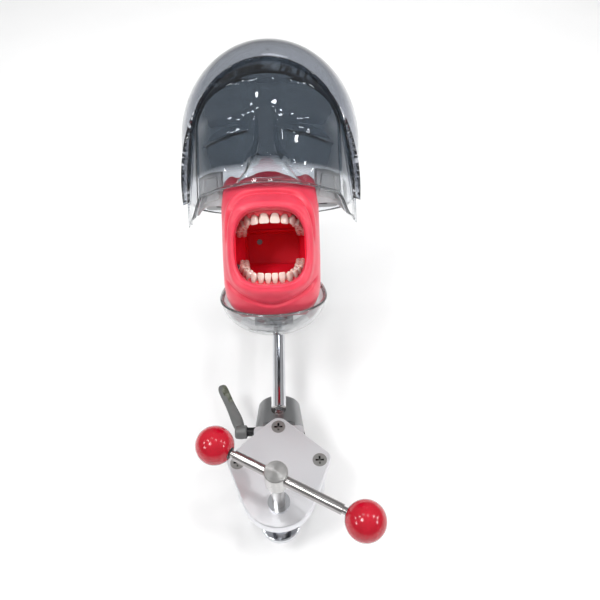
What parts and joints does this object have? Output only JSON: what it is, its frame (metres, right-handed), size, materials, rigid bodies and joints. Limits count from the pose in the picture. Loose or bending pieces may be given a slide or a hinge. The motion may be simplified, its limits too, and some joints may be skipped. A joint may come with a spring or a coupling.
{
  "type": "dental phantom head with typodont and bench clamp",
  "caption": "Bench-clamp dental training head: clear mask and skull shell, pink silicone shroud, opening jaws with removable teeth, swivel post, lock lever and T-handle screw clamp.",
  "frame": {"origin": "centre of the fixed jaw's clamping face, on the clamp-screw axis", "axes": "+Z along the clamp screw, up from the bench top; +Y out from the bench edge along the post; +X to the right of someone facing the head"},
  "size_m": [0.166, 0.4394, 0.3013],
  "materials": {
    "bead_blasted_aluminium": "satin bead-blasted aluminium",
    "cast_aluminium": "satin turned aluminium",
    "zinc_steel": "zinc-plated steel",
    "polished_stainless": "polished stainless steel",
    "brushed_stainless": "turned stainless steel",
    "chrome": "chrome plated",
    "red_phenolic": "glossy red phenolic",
    "black_steel": "black oxide steel",
    "grey_zinc": "grey coated die-cast zinc",
    "white_acetal": "natural acetal",
    "frame_steel": "brushed sheet steel",
    "pink_silicone": "satin pink silicone",
    "deep_red_silicone": "deep red silicone",
    "gum_pink": "pink gum silicone",
    "tooth_enamel": "glossy ivory resin",
    "arch_base": "pink base plastic",
    "smoke_clear": "clear polycarbonate with a smoke tint",
    "clear_plastic": "clear polycarbonate",
    "frosted_plastic": "frosted clear plastic",
    "spring_steel": "spring steel"
  },
  "bodies": {
    "clamp": {"ball_housing": "cast_aluminium", "ball_seat": "white_acetal", "clamp_block": "bead_blasted_aluminium", "fixed_jaw": "bead_blasted_aluminium", "front_plate": "bead_blasted_aluminium", "housing_bolts": "black_steel", "jaw_screws": "zinc_steel", "plate_screws": "zinc_steel", "screw_bushing": "chrome"},
    "pad": {"pad_retainer": "brushed_stainless", "pressure_pad": "chrome"},
    "spindle": {"spindle": "brushed_stainless"},
    "t_bar": {"knob_inserts": "black_steel", "left_knob": "red_phenolic", "right_knob": "red_phenolic", "t_bar": "polished_stainless"},
    "lock_stud": {"lever_screw": "zinc_steel", "lever_spring": "spring_steel", "lock_stud": "black_steel"},
    "lever": {"lever_arm": "grey_zinc"},
    "post": {"post": "polished_stainless", "swivel_ball": "polished_stainless"},
    "neck": {"neck_block": "cast_aluminium"},
    "thumbscrew": {"neck_thumbscrew": "black_steel"},
    "head": {"face_mask": "smoke_clear", "face_shroud": "pink_silicone", "jaw_pins": "zinc_steel", "liner_screws": "deep_red_silicone", "mask_clips": "frosted_plastic", "mask_yoke": "frame_steel", "mouth_liner": "deep_red_silicone", "neck_axle": "zinc_steel", "neck_nuts": "zinc_steel", "neck_spacers": "white_acetal", "rear_shell": "smoke_clear", "skull_frame": "frame_steel", "upper_arch_plate": "arch_base", "upper_arch_screw": "zinc_steel", "upper_canines": "tooth_enamel", "upper_gum": "gum_pink", "upper_incisors": "tooth_enamel", "upper_molars": "tooth_enamel", "upper_premolars": "tooth_enamel", "yoke_screws": "zinc_steel"},
    "mandible": {"chin_bracket": "clear_plastic", "chin_bracket_screws": "zinc_steel", "chin_guard": "clear_plastic", "lower_arch_plate": "arch_base", "lower_arch_screw": "zinc_steel", "lower_canines": "tooth_enamel", "lower_gum": "gum_pink", "lower_incisors": "tooth_enamel", "lower_molars": "tooth_enamel", "lower_premolars": "tooth_enamel", "mandible_frame": "frame_steel"}
  },
  "joints": [
    {"name": "screw_travel", "type": "slide", "parent": "clamp", "child": "pad", "axis": [0, 0, -1], "range_m": [-0.02, 0.02]},
    {"name": "spindle_turn", "type": "hinge", "parent": "pad", "child": "spindle", "pos_m": [0, 0, 0.06], "axis": [0, 0, -1], "range_deg": [-3600, 3600]},
    {"name": "t_bar_slide", "type": "slide", "parent": "spindle", "child": "t_bar", "axis": [0.8678, -0.497, 0], "range_m": [-0.046, 0.028]},
    {"name": "lock_lever_turn", "type": "hinge", "parent": "clamp", "child": "lock_stud", "pos_m": [-0.03, 0.08, 0.037], "axis": [1, 0, 0], "range_deg": [-60, 35]},
    {"name": "lever_lift", "type": "slide", "parent": "lock_stud", "child": "lever", "axis": [-1, 0, 0], "range_m": [0, 0.0025], "stiffness_N_per_m": 600, "springref_m": -0.001, "deforming": ["lever_spring"]},
    {"name": "post_fold", "type": "hinge", "parent": "clamp", "child": "post", "pos_m": [0, 0.091, 0.037], "axis": [1, 0, 0], "range_deg": [-5, 25]},
    {"name": "head_turn", "type": "hinge", "parent": "post", "child": "neck", "pos_m": [0, 0.235, 0.037], "axis": [0, 1, 0], "range_deg": [-45, 45]},
    {"name": "thumbscrew_turn", "type": "hinge", "parent": "neck", "child": "thumbscrew", "pos_m": [0, 0.235, 0.015], "axis": [0, 0, 1], "range_deg": [-180, 180]},
    {"name": "head_nod", "type": "hinge", "parent": "neck", "child": "head", "pos_m": [0, 0.235, 0.052], "axis": [1, 0, 0], "range_deg": [-25, 15]},
    {"name": "jaw_close", "type": "hinge", "parent": "head", "child": "mandible", "pos_m": [0, 0.2028, 0.1459], "axis": [-1, 0, 0], "range_deg": [0, 30.9], "deforming": ["face_shroud"]}
  ],
  "couplings": [
    {"joint": "screw_travel", "follows": "spindle_turn", "m_per_rad": 0.00031831}
  ]
}
